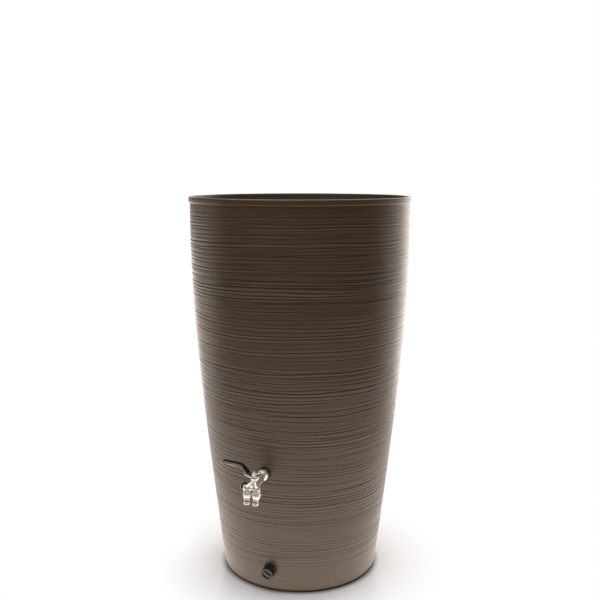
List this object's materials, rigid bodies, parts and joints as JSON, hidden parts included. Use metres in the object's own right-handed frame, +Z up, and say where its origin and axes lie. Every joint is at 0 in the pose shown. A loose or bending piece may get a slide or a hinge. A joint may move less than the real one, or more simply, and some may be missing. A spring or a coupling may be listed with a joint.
{
  "type": "rain barrel",
  "caption": "Tapered upright rain barrel with a lift-out planter bowl in its mouth, a chromed lever tap with hose tails, and a screw-capped drain near the base.",
  "frame": {"origin": "centre of the flat base, on the surface the barrel stands on", "axes": "+Z up along the barrel axis; -Y out through the tap and the drain plug; +X to the right of someone facing the tap"},
  "size_m": [0.614, 0.6749, 1.06],
  "materials": {
    "barrel_plastic": "matt, hand-scraped",
    "bowl_plastic": "matt",
    "chromed_brass": "polished",
    "steel": "polished",
    "black_vinyl": "satin",
    "black_plastic": "satin",
    "black_rubber": "matt",
    "white_seal": "matt"
  },
  "bodies": {
    "barrel": {"barrel_body": "barrel_plastic", "tap_inlet": "chromed_brass", "tap_manifold": "chromed_brass", "tap_gasket": "black_rubber", "tap_inner_gasket": "black_rubber", "tap_backnut": "black_plastic", "ball_seats": "white_seal", "bonnet_nut": "chromed_brass", "stem_packing": "white_seal", "hose_tail_left": "chromed_brass", "hose_tail_right": "chromed_brass", "tail_washer_left": "black_rubber", "tail_washer_right": "black_rubber", "tail_ring_left": "black_rubber", "tail_ring_right": "black_rubber", "drain_spigot": "black_plastic", "drain_gasket": "black_rubber", "drain_inner_gasket": "black_rubber", "drain_backnut": "black_plastic", "inlet_grommet": "black_rubber"},
    "planter": {"planter_bowl": "bowl_plastic"},
    "main_valve": {"main_lever": "steel", "lever_sleeve": "black_vinyl", "lever_nut": "chromed_brass", "main_stem": "steel", "main_ball": "chromed_brass"},
    "side_valve": {"side_plug": "chromed_brass", "side_lever": "black_plastic", "side_lever_screw": "steel"},
    "left_nut": {"coupling_nut_left": "chromed_brass"},
    "right_nut": {"coupling_nut_right": "chromed_brass"},
    "drain_seal": {"drain_cap_seal": "black_rubber"},
    "drain_screw_cap": {"drain_cap": "black_plastic"}
  },
  "joints": [
    {"name": "planter_lift", "type": "slide", "parent": "barrel", "child": "planter", "axis": [0, 0, 1], "range_m": [0, 0.22]},
    {"name": "main_lever_turn", "type": "hinge", "parent": "barrel", "child": "main_valve", "pos_m": [0, -0.31991, 0.34038], "axis": [0, -0.1101, 0.9939], "range_deg": [0, 90]},
    {"name": "side_lever_turn", "type": "hinge", "parent": "barrel", "child": "side_valve", "pos_m": [-0.0122, -0.33648, 0.33553], "axis": [-1, 0, 0], "range_deg": [0, 90]},
    {"name": "left_nut_turn", "type": "hinge", "parent": "barrel", "child": "left_nut", "pos_m": [-0.0122, -0.34012, 0.3179], "axis": [0, 0.2024, 0.9793], "continuous": true},
    {"name": "right_nut_turn", "type": "hinge", "parent": "barrel", "child": "right_nut", "pos_m": [0.0122, -0.34012, 0.3179], "axis": [0, 0.2024, 0.9793], "continuous": true},
    {"name": "drain_cap_travel", "type": "slide", "parent": "barrel", "child": "drain_seal", "axis": [0, -0.9933, -0.1158], "range_m": [0, 0.0106]},
    {"name": "drain_cap_turn", "type": "hinge", "parent": "drain_seal", "child": "drain_screw_cap", "pos_m": [0, -0.24216, 0.06025], "axis": [0, -0.9933, -0.1158], "range_deg": [0, 1260]}
  ],
  "couplings": [
    {"joint": "drain_cap_travel", "follows": "drain_cap_turn", "m_per_rad": 0.00047746}
  ]
}
